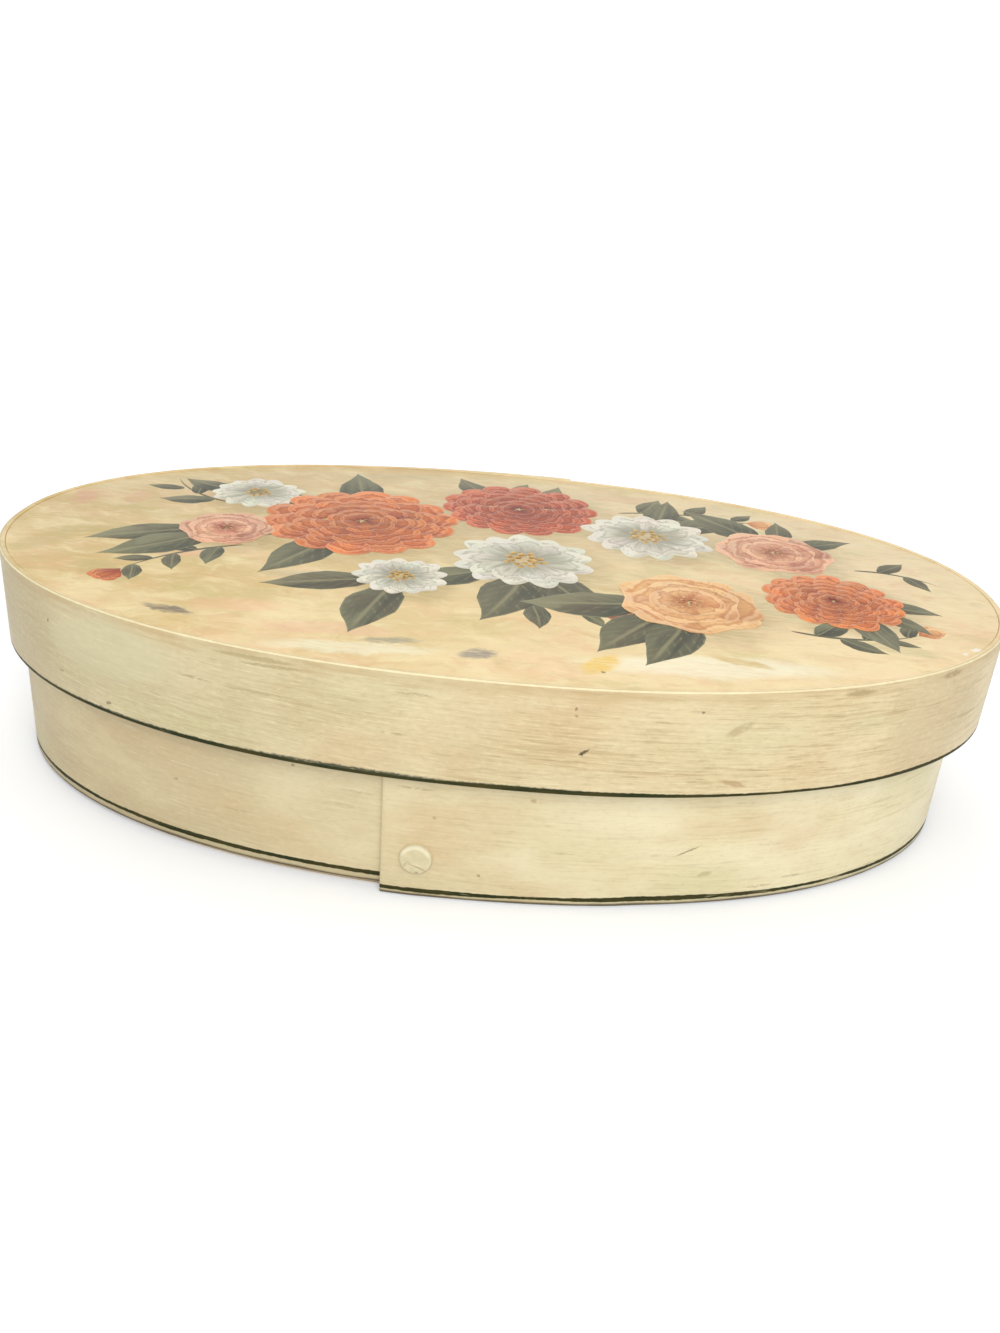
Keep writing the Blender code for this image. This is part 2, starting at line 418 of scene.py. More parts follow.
def painted_line(tree, height, along, middle, width, waver):
    """A line brushed by hand along a strip: 1 on the line, with an uneven width and soft edges."""
    path = cloud(tree, along, (16.0, 0.0, 0.0), 3.0)
    drift = ease(tree, path, 0.2, 0.8, -waver, waver)
    pressure = cloud(tree, along, (15.0, 0.0, 0.0), 5.0, 0.6, shift=(0.0, 3.0, 0.0))
    swell = ease(tree, pressure, 0.30, 0.70, width * 0.28, width * 0.66)
    bristles = cloud(tree, along, (420.0, 1500.0, 0.0), 2.0, shift=(0.0, 0.0, 3.0))
    fray = ease(tree, bristles, 0.2, 0.8, -0.00014, 0.00014)
    centre = plus(tree, drift, middle)
    off_line = maths(tree, "ABSOLUTE", minus(tree, plus(tree, height, fray), centre))
    return ease(tree, minus(tree, off_line, swell), -0.0001, 0.0002, 1.0, 0.0)


def cream_paint_material(
    name, creams, glaze, marks, line_height, line_climb, line_width, foot_band, top_edge
):
    """Cream paint brushed along a strip, glazed with thin tan streaks, with its dark green line.

    Creams are its darker and paler tones at the left end of the box, then at the right end. The left end's
    creams are darker as painted shade and the right end's paler as painted light.
    """
    material, tree, shader = start_material(name, Coat_Roughness=0.25)
    uv = surface_uv(tree)
    height = part_of(tree, uv, "Y")
    along = part_of(tree, uv, "X")
    rightward = ease(tree, part_of(tree, object_place(tree), "X"), -0.19, 0.16)

    tilted = loosened(tree, placed(tree, uv, (1.0, 1.0, 1.0), rotation=(0.0, 0.0, 0.025)), 60.0, 0.0012)
    blotches = cloud(tree, uv, (24.0, 42.0, 1.0), 4.0, 0.55, 0.3)
    clouds = cloud(tree, uv, (13.0, 24.0, 1.0), 3.0, 0.5, shift=(5.0, 0.0, 0.0))
    long_streaks = cloud(tree, tilted, (26.0, 620.0, 1.0), 5.0, 0.62)
    short_streaks = cloud(tree, tilted, (85.0, 1150.0, 1.0), 4.0, 0.62, shift=(9.0, 0.0, 0.0))
    hairs = cloud(tree, tilted, (110.0, 2600.0, 1.0), 2.0, 0.5)
    mottle = cloud(tree, uv, (330.0, 640.0, 1.0), 4.0, 0.65)

    # Painted shade and light: the creams darken toward the left end and pale toward the right, as if the box
    # were lit from the right.
    shaded_left_cream = layered(tree, ease(tree, blotches, 0.36, 0.64), creams[0], creams[1])
    lit_right_cream = layered(tree, ease(tree, blotches, 0.36, 0.64), creams[2], creams[3])
    colour = layered(tree, rightward, shaded_left_cream, lit_right_cream)
    colour = layered(tree, ease(tree, clouds, 0.50, 0.68, 0.0, 0.50), colour, (0.68, 0.47, 0.24))
    colour = layered(tree, ease(tree, clouds, 0.48, 0.32, 0.0, 0.45), colour, (0.68, 0.63, 0.35))
    strength = ease(tree, rightward, 0.0, 1.0, 0.45 * glaze, glaze)
    gathered = ease(tree, blotches, 0.62, 0.40, 0.25, 1.0)
    dragged = times(tree, ease(tree, long_streaks, 0.50, 0.66), gathered)
    colour = layered(tree, times(tree, dragged, strength), colour, (0.46, 0.31, 0.14))
    flecked = times(tree, ease(tree, short_streaks, 0.52, 0.70), gathered)
    colour = layered(tree, times(tree, flecked, strength), colour, (0.38, 0.26, 0.12))
    paler = ease(tree, short_streaks, 0.46, 0.30, 0.0, 0.25 + 0.35 * glaze)
    colour = layered(tree, paler, colour, (0.90, 0.82, 0.54))
    colour = layered(tree, ease(tree, hairs, 0.50, 0.72, 0.0, 0.40 * glaze), colour, (0.46, 0.34, 0.18))
    speckled = 0.15 + 0.25 * glaze
    colour = layered(tree, ease(tree, mottle, 0.50, 0.74, 0.0, speckled), colour, (0.48, 0.36, 0.19))
    colour = layered(tree, ease(tree, mottle, 0.48, 0.26, 0.0, speckled), colour, (0.92, 0.84, 0.58))

    from_scuff, picked = cells(tree, tilted, (32.0, 330.0, 1.0))
    scuffed = ease(tree, from_scuff, 0.10, 0.26, 0.45, 0.0)
    scuffed = times(tree, scuffed, ease(tree, picked["Green"], 0.88, 0.91))
    colour = layered(tree, times(tree, scuffed, ease(tree, mottle, 0.38, 0.56)), colour, (0.34, 0.25, 0.12))
    wavering = loosened(tree, uv, 700.0, 0.0012)
    colour = spotted(tree, colour, wavering, ease(tree, mottle, 0.30, 0.50, 0.6, 1.0), marks)
    from_speck, picked = cells(tree, uv, (26.0, 36.0, 1.0))
    dots = ease(tree, from_speck, 0.010, 0.020, 0.85, 0.0)
    dots = times(tree, dots, ease(tree, picked["Red"], 0.62, 0.64))
    colour = layered(tree, dots, colour, (0.16, 0.11, 0.06))

    if top_edge:
        # A tan band just under the top edge, broken by a smear: partly glaze gathered under the rim, partly
        # painted shade under the rounded arris.
        smear = cloud(tree, uv, (17.0, 50.0, 1.0), 3.0, shift=(2.0, 0.0, 0.0))
        streaky = times(tree, long_streaks, 0.010)
        shade = ease(tree, plus(tree, height, streaky), top_edge - 0.0010, top_edge + 0.0040)
        shade = times(tree, shade, ease(tree, smear, 0.44, 0.62, 0.10, 0.60))
        colour = layered(tree, shade, colour, (0.56, 0.40, 0.19))
        # Painted highlight: a pale yellow line along the rounded top arris, broken a little by the mottle.
        highlighted = ease(tree, painted_value(tree, "arris highlight", "Fac"), 0.45, 0.85)
        highlighted = times(tree, highlighted, ease(tree, mottle, 0.30, 0.55, 1.0, 0.75))
        colour = layered(tree, highlighted, colour, (0.96, 0.86, 0.54))

    climbing = minus(tree, height, times(tree, along, line_climb))
    line = painted_line(tree, climbing, uv, line_height, line_width, 0.0003)
    tint = cloud(tree, uv, (50.0, 260.0, 1.0), 3.0)
    green = layered(tree, ease(tree, tint, 0.35, 0.65), (0.030, 0.038, 0.014), (0.062, 0.055, 0.018))
    thin = ease(tree, cloud(tree, uv, (75.0, 500.0, 1.0), 3.0), 0.62, 0.80, 1.0, 0.45)
    # Darker tan between the foot and the green line.
    uneven = plus(tree, climbing, ease(tree, tint, 0.3, 0.7, -0.0003, 0.0003))
    darker_under_line = ease(tree, uneven, line_height * 0.55, line_height, 0.45, 0.0)
    colour = layered(tree, darker_under_line, colour, (0.42, 0.36, 0.20))
    colour = layered(tree, times(tree, line, thin), colour, green)
    # Painted shade at the foot: the strip darkens sharply at its lowest edge, where the rounded edge turns
    # down away from the light.
    uneven = plus(tree, height, ease(tree, tint, 0.3, 0.7, -0.0002, 0.0002))
    foot_shade = ease(tree, uneven, foot_band * 0.5, foot_band, 0.90, 0.0)
    colour = layered(tree, foot_shade, colour, (0.085, 0.060, 0.028))

    off_line = minus(tree, 1.0, line)
    tree.links.new(ease(tree, off_line, 0.0, 1.0, 0.06, 0.35), shader.inputs["Specular IOR Level"])
    tree.links.new(times(tree, off_line, 0.12), shader.inputs["Coat Weight"])
    relief = times(tree, long_streaks, 0.5)
    for pattern, share in ((short_streaks, 0.35), (mottle, 0.25), (line, 0.25)):
        relief = plus(tree, relief, times(tree, pattern, share))
    roughness = ease(tree, long_streaks, 0.3, 0.7, 0.36, 0.52)
    finish_material(tree, shader, colour, roughness, relief, 0.00010)
    return material


# Creams at the left end, darker as painted shade, then at the right end, paler as painted light.
body_creams = ((0.60, 0.48, 0.275), (0.68, 0.57, 0.33), (0.88, 0.78, 0.49), (0.93, 0.84, 0.57))
body_marks = (
    (0.1070, 0.0233, 26.0, 0.0100, 0.0007, (0.34, 0.26, 0.13), 0.80),
    (0.0510, 0.0435, 0.0, 0.0022, 0.0017, (0.45, 0.30, 0.14), 0.60),
    (0.1145, 0.0131, 10.0, 0.0060, 0.0022, (0.50, 0.40, 0.18), 0.60),
    (0.0345, 0.0113, 0.0, 0.0013, 0.0012, (0.34, 0.25, 0.13), 0.75),
    (0.0180, 0.0338, 0.0, 0.0015, 0.0013, (0.42, 0.32, 0.18), 0.65),
    (0.8870, 0.0259, 0.0, 0.0018, 0.0013, (0.38, 0.29, 0.15), 0.65),
    (0.9330, 0.0431, 0.0, 0.0016, 0.0012, (0.30, 0.23, 0.12), 0.70),
)
strip_wood = bare_wood_material("bare basswood strip", True)
body_low, body_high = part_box("body_band")
body_strip = Strip(body_oval, body_low.z, body_high.z, body_rise)
body_paint = cream_paint_material(
    "cream paint on the body", body_creams, 0.22, body_marks, 0.0029, 0.0011, 0.0016, 0.0018, None
)
body_mesh = bent_strip(body_strip, 0)
finished_piece("body_strip_painted", body_mesh, [body_paint, strip_wood], "body", "body_band")


# Lid board
# A flat oval board of basswood, flush with the top of the lid's strip. Its top is painted in blotted
# creams, peach and olive under a glossy varnish.

paint_film = 0.0003
ground_dabs = (
    (-0.181, 0.024, 100.0, 0.021, 0.010, (0.74, 0.36, 0.22), 0.60),
    (-0.160, 0.030, 80.0, 0.024, 0.010, (0.80, 0.44, 0.27), 0.45),
    (-0.175, -0.030, 60.0, 0.030, 0.014, (0.58, 0.47, 0.19), 0.55),
    (-0.156, -0.012, 10.0, 0.040, 0.012, (0.56, 0.45, 0.18), 0.50),
    (-0.140, -0.056, -30.0, 0.030, 0.014, (0.54, 0.46, 0.18), 0.60),
    (-0.122, -0.030, 0.0, 0.034, 0.011, (0.84, 0.44, 0.27), 0.50),
    (-0.108, -0.083, -16.0, 0.022, 0.0056, (0.13, 0.11, 0.11), 0.88),
    (-0.086, -0.075, 10.0, 0.036, 0.012, (0.88, 0.50, 0.30), 0.50),
    (-0.068, -0.042, 5.0, 0.034, 0.010, (0.52, 0.45, 0.29), 0.50),
    (-0.052, -0.088, 4.0, 0.046, 0.012, (0.88, 0.54, 0.36), 0.55),
    (-0.040, -0.101, 8.0, 0.060, 0.009, (0.93, 0.92, 0.68), 0.60),
    (0.080, -0.090, 8.0, 0.090, 0.018, (0.97, 0.92, 0.70), 0.75),
    (-0.028, -0.092, 12.0, 0.022, 0.0058, (0.30, 0.31, 0.24), 0.75),
    (0.001, -0.097, 28.0, 0.015, 0.0080, (0.20, 0.20, 0.21), 0.78),
    (0.020, -0.060, 20.0, 0.040, 0.014, (0.86, 0.56, 0.28), 0.40),
    (0.043, -0.096, 62.0, 0.020, 0.010, (0.88, 0.58, 0.10), 0.85),
    (0.091, -0.084, -24.0, 0.022, 0.0060, (0.66, 0.45, 0.14), 0.75),
    (0.0440, -0.1025, 0.0, 0.0018, 0.0016, (0.22, 0.13, 0.05), 0.85),
    # The next two near-white dabs by the right front rim are painted glints: highlights on the varnish.
    (0.1783, -0.0535, 30.0, 0.0050, 0.0024, (0.98, 0.95, 0.88), 0.95),
    (0.1725, -0.0580, 20.0, 0.0030, 0.0016, (0.98, 0.95, 0.88), 0.80),
    (0.150, -0.060, -12.0, 0.030, 0.0090, (0.52, 0.46, 0.22), 0.50),
    (-0.060, 0.095, 8.0, 0.040, 0.010, (0.58, 0.50, 0.26), 0.45),
    (0.060, 0.090, -10.0, 0.044, 0.010, (0.80, 0.50, 0.30), 0.40),
)
# Where the middle of each blossom of the garland lies, and its radius.
flower_places = (
    (0.006, 0.062, 0.036), (0.064, 0.040, 0.029), (0.118, 0.034, 0.026), (-0.112, 0.052, 0.021),
    (-0.060, 0.026, 0.042), (-0.112, 0.002, 0.020), (0.012, -0.004, 0.030), (0.134, -0.018, 0.028),
    (0.076, -0.034, 0.029), (-0.034, -0.034, 0.019),
)
scumbles = (
    ((16.0, 26.0, 1.0), 2.0, (0.93, 0.76, 0.44), 0.54, 0.75),
    ((24.0, 40.0, 1.0), 7.0, (0.87, 0.55, 0.32), 0.58, 0.52),
    ((21.0, 34.0, 1.0), 13.0, (0.60, 0.51, 0.20), 0.59, 0.45),
    ((44.0, 80.0, 1.0), 19.0, (0.94, 0.78, 0.44), 0.56, 0.65),
    ((40.0, 74.0, 1.0), 29.0, (0.76, 0.46, 0.22), 0.59, 0.50),
    ((70.0, 150.0, 1.0), 37.0, (0.62, 0.53, 0.23), 0.60, 0.35),
    ((90.0, 260.0, 1.0), 41.0, (0.95, 0.82, 0.50), 0.59, 0.38),
)


def ground_paint_material(name):
    """Creams dabbed wet on wet over the board, with loose peach, olive and grey strokes, under gloss."""
    material, tree, shader = start_material(
        name, Specular_IOR_Level=0.3, Coat_Weight=0.22, Coat_Roughness=0.10
    )
    place = object_place(tree)
    loose = loosened(tree, place, 75.0, 0.014)
    rightward = ease(tree, part_of(tree, place, "X"), -0.17, 0.15)
    colour = layered(tree, rightward, (0.68, 0.485, 0.19), (0.92, 0.73, 0.43))
    bristles = cloud(tree, place, (120.0, 900.0, 1.0), 4.0, 0.65, turn=0.12)
    for scale, seed, paint, start, cover in scumbles:
        spread = cloud(tree, loose, scale, 5.0, 0.62, 0.2, shift=(seed, seed, 0.0), turn=0.25)
        spread = plus(tree, spread, times(tree, bristles, 0.14))
        spread = ease(tree, spread, start - 0.03, start + 0.20, 0.0, cover)
        colour = layered(tree, spread, colour, paint)
    smooth = loosened(tree, loosened(tree, place, 45.0, 0.008), 320.0, 0.0035)
    ragged = ease(tree, bristles, 0.34, 0.58, 0.45, 1.0)
    colour = spotted(tree, colour, smooth, ragged, ground_dabs)
    shade = (0.34, 0.27, 0.11)
    shades = [(x + 0.003, y - 0.005, 0.0, 2.3 * r, 2.3 * r, shade, 0.55) for x, y, r in flower_places]
    colour = spotted(tree, colour, loose, ragged, shades)
    grain = cloud(tree, loose, (60.0, 230.0, 1.0), 5.0, 0.65, 0.3, turn=0.2)
    colour = layered(tree, ease(tree, grain, 0.50, 0.78, 0.0, 0.30), colour, (0.60, 0.44, 0.20))
    colour = layered(tree, ease(tree, grain, 0.46, 0.24, 0.0, 0.30), colour, (0.92, 0.78, 0.50))
    colour = layered(tree, ease(tree, bristles, 0.48, 0.78, 0.0, 0.22), colour, (0.62, 0.46, 0.24))
    relief = plus(tree, times(tree, grain, 0.7), times(tree, bristles, 0.3))
    roughness = ease(tree, grain, 0.3, 0.7, 0.34, 0.46)
    finish_material(tree, shader, colour, roughness, relief, 0.00006)
    return material


lid_board_low, lid_board_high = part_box("lid_board")
lid_oval = Oval(lid_board_low, lid_board_high, glue_gap, True)
lid_surface = lid_board_high.z - paint_film
ground_paint = ground_paint_material("blotted ground under varnish")
lid_board = oval_board(lid_oval, lid_board_low.z, lid_surface, (0, 1))
finished_piece("lid_board_painted", lid_board, [ground_paint, board_wood], "lid", "lid_board")


# Garland
# A garland of open blossoms and leaves brushed along the lid in oil paint, under the same varnish. Every
# stroke is a thin film with its own outline, and lies a hair above the one before it.

stroke_points = 28
stroke_rise = 0.0000007
stroke_sunk = 0.00002
stroke_inset = 0.80
garland_margin = 0.93
painted_light = math.radians(118.0)
stroke_sizes = (1.0, 0.9, 0.8, 0.7, 0.6, 0.5)
random.seed(20)

# Each form gives where a stroke is widest, how blunt its base and its tip are, and its notch and ripple.
petal_form = (0.66, 0.95, 0.42, 0.0, 0.05)
slim_form = (0.60, 0.80, 0.55, 0.0, 0.02)
notched_form = (0.68, 0.90, 0.40, 0.13, 0.03)
leaf_form = (0.42, 0.70, 1.35, 0.0, 0.05)
trail_form = (0.30, 0.60, 0.80, 0.0, 0.0)
dot_form = (0.50, 0.50, 0.50, 0.0, 0.06)


class Painting:
    """Brush strokes of one kind, gathered in one mesh."""

    layer = 0

    def __init__(self):
        self.bm = bmesh.new()
        self.number = self.bm.verts.layers.int.new("point of the outline")
        self.stroke = self.bm.verts.layers.float_vector.new("stroke")
        self.edge = self.bm.verts.layers.float.new("stroke edge")
        self.light = self.bm.verts.layers.float.new("painted light")
        self.deep = self.bm.verts.layers.float_color.new("deep tone")
        self.pale = self.bm.verts.layers.float_color.new("pale tone")

    def brush(self, base, turn, length, width, form, deep, pale, bend=0.0):
        """Lays one stroke from its base, turned and bent, from its deep tone to its pale one."""
        widest, base_bluntness, tip_bluntness, notch, ripple = form
        power = math.log(0.5) / math.log(widest)
        phase = random.uniform(0.0, 2 * math.pi)
        seed = random.uniform(0.0, 50.0)

        def spot(number, shrink, size):
            angle = 2 * math.pi * number / stroke_points
            share = (1.0 - math.cos(angle)) / 2
            bluntness = base_bluntness + (tip_bluntness - base_bluntness) * share
            half = max(math.sin(math.pi * share**power), 0.0) ** bluntness
            waver = math.sin(3.0 * angle + phase) + 0.8 * math.sin(9.0 * angle + phase)
            half *= (1.0 + ripple * waver) * shrink
            across = math.copysign(half, math.sin(angle))
            cut = notch * math.exp(-(((angle - math.pi) / 0.35) ** 2))
            forward = (share - 0.5) * shrink + 0.5 - cut
            heading = bend * forward
            if abs(bend) > 0.01:
                middle = Vector((math.sin(heading), 1.0 - math.cos(heading))) * length / bend
            else:
                middle = Vector((forward * length, 0.0))
            flat = middle + Vector((-math.sin(heading), math.cos(heading))) * across * width / 2
            from_light = painted_light - turn - heading
            light = (1.2 * forward - 0.6) * math.cos(from_light) + across * math.sin(from_light)
            place = Vector(base) + Matrix.Rotation(turn, 2) @ flat * size
            return place, Vector((forward, across, seed)), light

        fitting = [
            size for size in stroke_sizes
            if all(on_lid(spot(number, 1.0, size)[0]) for number in range(stroke_points))
        ]
        if not fitting:
            return
        size = fitting[0]
        Painting.layer += 1
        level = lid_surface + stroke_sunk + Painting.layer * stroke_rise
        outline = bmesh.ops.create_circle(self.bm, cap_ends=True, segments=stroke_points, radius=1.0)["verts"]
        for number, vert in enumerate(outline):
            vert[self.number] = number
            vert[self.deep] = (*deep, 1.0)
            vert[self.pale] = (*pale, 1.0)
        face = outline[0].link_faces[0]
        low = lid_surface - stroke_sunk
        for height, shrink, edge in ((low, 1.0, 1.0), (level, 1.0, 1.0), (level, stroke_inset, 0.0)):
            for vert in face.verts:
                flat, vert[self.stroke], vert[self.light] = spot(vert[self.number], shrink, size)
                vert.co = (flat.x, flat.y, height)
                vert[self.edge] = edge
            if edge:
                made = bmesh.ops.extrude_face_region(self.bm, geom=[face])["geom"]
                if height == level:
                    bmesh.ops.delete(self.bm, geom=[face], context="FACES_ONLY")
                face = [item for item in made if isinstance(item, bmesh.types.BMFace)][0]

    def finish(self, name, material):
        bmesh.ops.recalc_face_normals(self.bm, faces=self.bm.faces)
        finished_piece(name, self.bm, [material], "lid", None)


def on_lid(flat):
    across = abs(flat.x / lid_oval.half_length) ** oval_exponent
    return across + abs(flat.y / lid_oval.half_width) ** oval_exponent < garland_margin**oval_exponent


def out_from(centre, turn, reach):
    return Vector(centre) + Vector((math.cos(turn), math.sin(turn))) * reach


def varied(colour, reach):
    """The same paint mixed a little differently."""
    change = random.uniform(1.0 - reach, 1.0 + reach)
    return tuple(min(part * change * random.uniform(0.96, 1.04), 0.95) for part in colour)


def ring_of_petals(painting, centre, radius, first, count, width, form, deep, pale, reach=0.12):
    """One ring of petals. Radius is where they end, and first is where they start, as a share of it."""
    start = random.uniform(0.0, 2 * math.pi)
    for step in range(count):
        turn = start + 2 * math.pi * (step + random.uniform(-0.12, 0.12)) / count
        length = radius * (1.0 - first) * random.uniform(0.93, 1.05)
        spread = 2 * math.pi * radius * 0.8 / count * width * random.uniform(0.94, 1.08)
        base = out_from(centre, turn, radius * first)
        tones = varied(deep, reach), varied(pale, reach)
        painting.brush(base, turn, length, spread, form, *tones, random.uniform(-0.12, 0.12))


def dahlia(painting, centre, radius, deep, pale):
    for ring, count in enumerate((14, 13, 11, 9, 7, 5)):
        share = 1.0 - 0.155 * ring
        tone = 1.0 - 0.05 * ring
        ring_deep = tuple(part * tone for part in deep)
        ring_pale = tuple(part * tone for part in pale)
        first = 0.42 if ring < 4 else 0.10
        ring_of_petals(painting, centre, radius * share, first, count, 1.15, petal_form, ring_deep, ring_pale)


def daisy(painting, centre, radius, deep, pale):
    ring_of_petals(painting, centre, radius, 0.18, 13, 1.12, slim_form, deep, pale, 0.06)
    ring_of_petals(painting, centre, radius * 0.88, 0.18, 11, 1.05, slim_form, deep, pale, 0.06)
    stamens(painting, centre, radius * 0.24, 16, radius * 0.105, (0.42, 0.22, 0.04), (0.78, 0.50, 0.10))


def blossom(painting, centre, radius, deep, pale):
    ring_of_petals(painting, centre, radius, 0.10, 6, 1.25, notched_form, deep, pale)
    ring_of_petals(painting, centre, radius * 0.76, 0.08, 5, 1.25, notched_form, deep, pale)
    ring_of_petals(painting, centre, radius * 0.50, 0.05, 5, 1.15, petal_form, deep, pale)
    stamens(painting, centre, radius * 0.15, 9, radius * 0.07, (0.30, 0.09, 0.03), (0.80, 0.55, 0.18))


def stamens(painting, centre, radius, count, size, deep, pale):
    for step in range(count):
        turn = step * 2.4
        place = out_from(centre, turn, radius * math.sqrt((step + 0.5) / count))
        painting.brush(place, turn, size, size * 0.9, dot_form, varied(deep, 0.2), varied(pale, 0.2))


def leaf(painting, base, turn, length):
    deep = varied((0.044, 0.045, 0.018), 0.25)
    pale = varied((0.225, 0.215, 0.110), 0.25)
    width = length * random.uniform(0.40, 0.48)
    painting.brush(base, turn, length, width, leaf_form, deep, pale, random.uniform(-0.5, 0.5))


def sprig(leaves, petals, base, turn, length, bend, bud):
    """A trailing stem with small leaves on both sides and a bud at its tip."""
    def along_stem(share):
        heading = bend * share
        arc = Vector((math.sin(heading), 1.0 - math.cos(heading))) * length / bend
        return Vector(base) + Matrix.Rotation(turn, 2) @ arc

    leaves.brush(base, turn, length, 0.0016, trail_form, (0.060, 0.060, 0.028), (0.16, 0.15, 0.07), bend)
    count = round(length / 0.011)
    for step in range(1, count + 1):
        share = step / (count + 0.6)
        side = 0.85 if step % 2 else -0.85
        size = random.uniform(0.017, 0.024) * (1.15 - 0.4 * share)
        leaf(leaves, along_stem(share), turn + bend * share + side, size)
    for side in (-0.35, 0.35, 0.0):
        deep, pale = bud
        tones = varied(deep, 0.1), varied(pale, 0.1)
        petals.brush(along_stem(1.0), turn + bend + side, 0.013, 0.0075, petal_form, *tones)


def paint_film_material(name, leafy):
    """Oil paint read along each stroke: from its deep tone at the base to its pale one at the tip."""
    material, tree, shader = start_material(
        name, Specular_IOR_Level=0.3, Coat_Weight=0.22, Coat_Roughness=0.10
    )
    stroke = painted_value(tree, "stroke", "Vector")
    forward = part_of(tree, stroke, "X")
    across = part_of(tree, stroke, "Y")
    deep = painted_value(tree, "deep tone", "Color")
    pale = painted_value(tree, "pale tone", "Color")
    edge = painted_value(tree, "stroke edge", "Fac")
    bristles = cloud(tree, stroke, (2.4, 8.0, 1.0), 4.0, 0.6, 0.3)
    patches = cloud(tree, stroke, (1.8, 2.2, 1.0), 3.0, shift=(4.0, 0.0, 0.0))
    canvas = cloud(tree, object_place(tree), (900.0, 900.0, 900.0), 3.0, 0.6)
    light = plus(tree, painted_value(tree, "painted light", "Fac"), times(tree, bristles, 0.5))
    loaded = plus(tree, forward, plus(tree, bristles, patches))
    colour = layered(tree, ease(tree, loaded, 1.12, 1.95), deep, pale)
    if leafy:
        to_side = maths(tree, "ABSOLUTE", across)
        colour = layered(tree, ease(tree, light, 0.15, 0.75, 0.0, 0.55), colour, pale)
        colour = layered(tree, ease(tree, light, 0.20, -0.35, 0.0, 0.50), colour, deep)
        umber = cloud(tree, object_place(tree), (55.0, 55.0, 55.0), 3.0)
        colour = layered(tree, ease(tree, umber, 0.48, 0.66, 0.0, 0.50), colour, (0.105, 0.070, 0.030))
        rise = minus(tree, forward, times(tree, to_side, 0.32))
        veins = maths(tree, "SINE", times(tree, rise, 44.0))
        veins = times(tree, ease(tree, veins, 0.30, 1.0, 0.0, 0.40), ease(tree, bristles, 0.40, 0.62))
        colour = layered(tree, veins, colour, (0.27, 0.25, 0.12))
        midrib = ease(tree, to_side, 0.01, 0.13, 0.65, 0.0)
        midrib = times(tree, midrib, ease(tree, forward, 0.70, 1.0, 1.0, 0.0))
        colour = layered(tree, midrib, colour, (0.32, 0.29, 0.14))
        rim = ease(tree, edge, 0.55, 1.0, 0.0, 0.35)
        colour = layered(tree, times(tree, rim, ease(tree, patches, 0.4, 0.6)), colour, (0.40, 0.39, 0.24))
    else:
        colour = layered(tree, ease(tree, bristles, 0.52, 0.72, 0.0, 0.45), colour, deep)
        rim = ease(tree, edge, 0.45, 1.0, 0.0, 0.65)
        rim = times(tree, rim, ease(tree, forward, 0.35, 0.75))
        lit = layered(tree, 0.36, pale, (0.98, 0.88, 0.68))
        colour = layered(tree, ease(tree, light, 0.05, -0.55, 0.0, 0.60), colour, deep)
        colour = layered(tree, ease(tree, light, 0.35, 1.05, 0.0, 0.35), colour, lit)
        bow = plus(tree, forward, times(tree, times(tree, across, across), 0.25))
        bow = plus(tree, bow, times(tree, patches, 0.5))
        fold = ease(tree, maths(tree, "ABSOLUTE", minus(tree, bow, 1.02)), 0.01, 0.06, 0.50, 0.0)
        colour = layered(tree, fold, colour, deep)
        ridge = ease(tree, maths(tree, "ABSOLUTE", minus(tree, bow, 1.11)), 0.01, 0.06, 0.40, 0.0)
        colour = layered(tree, ridge, colour, lit)
        colour = layered(tree, times(tree, rim, ease(tree, patches, 0.3, 0.6, 0.35, 1.0)), colour, lit)
        colour = layered(tree, ease(tree, forward, 0.0, 0.30, 0.55, 0.0), colour, deep)
    relief = plus(tree, times(tree, bristles, 0.5), times(tree, canvas, 0.2))
    relief = minus(tree, relief, times(tree, edge, 0.3))
    roughness = ease(tree, bristles, 0.3, 0.7, 0.32, 0.44)
    finish_material(tree, shader, colour, roughness, relief, 0.00010)
    return material


orange = ((0.34, 0.042, 0.007), (0.82, 0.22, 0.026))
rust = ((0.25, 0.024, 0.006), (0.64, 0.11, 0.015))
white = ((0.38, 0.36, 0.26), (0.84, 0.80, 0.66))
peach = ((0.56, 0.17, 0.042), (0.92, 0.54, 0.22))
salmon = ((0.42, 0.11, 0.050), (0.88, 0.47, 0.27))
flowers = (
    (dahlia, rust, (95.0, 130.0, 60.0)),
    (daisy, white, (80.0, 35.0)),
    (blossom, salmon, (75.0, 30.0, 110.0)),
    (daisy, white, (120.0, 165.0)),
    (dahlia, orange, (150.0, 200.0, 245.0, 105.0)),
    (blossom, salmon, (195.0, 235.0)),
    (daisy, white, (262.0, 225.0, 305.0)),
    (dahlia, orange, (335.0, 290.0, 5.0)),
    (blossom, peach, (232.0, 266.0, 200.0)),
    (daisy, white, (250.0, 200.0)),
)
sprigs = (
    ((-0.118, 0.034), 165.0, 0.058, -0.9, salmon),
    ((-0.100, -0.016), 205.0, 0.052, 0.7, orange),
    ((0.052, 0.070), 20.0, 0.060, -0.6, peach),
    ((0.150, 0.020), 10.0, 0.038, -0.9, salmon),
    ((0.112, -0.052), -18.0, 0.050, 0.9, peach),
    ((0.000, -0.040), -40.0, 0.045, 0.8, orange),
)
garland_leaves = Painting()
garland_petals = Painting()
for base, turn, length, bend, bud in sprigs:
    sprig(garland_leaves, garland_petals, base, math.radians(turn), length, bend, bud)
for (flower, paints, leaf_turns), (x, y, radius) in zip(flowers, flower_places):
    for turn in leaf_turns:
        turn = math.radians(turn + random.uniform(-8.0, 8.0))
        leaf(garland_leaves, out_from((x, y), turn, radius * 0.55), turn, random.uniform(0.042, 0.054))
for (flower, paints, leaf_turns), (x, y, radius) in zip(flowers, flower_places):
    flower(garland_petals, (x, y), radius, *paints)
garland_leaves.finish("garland_leaves", paint_film_material("leaf paint", True))
garland_petals.finish("garland_petals", paint_film_material("petal paint", False))
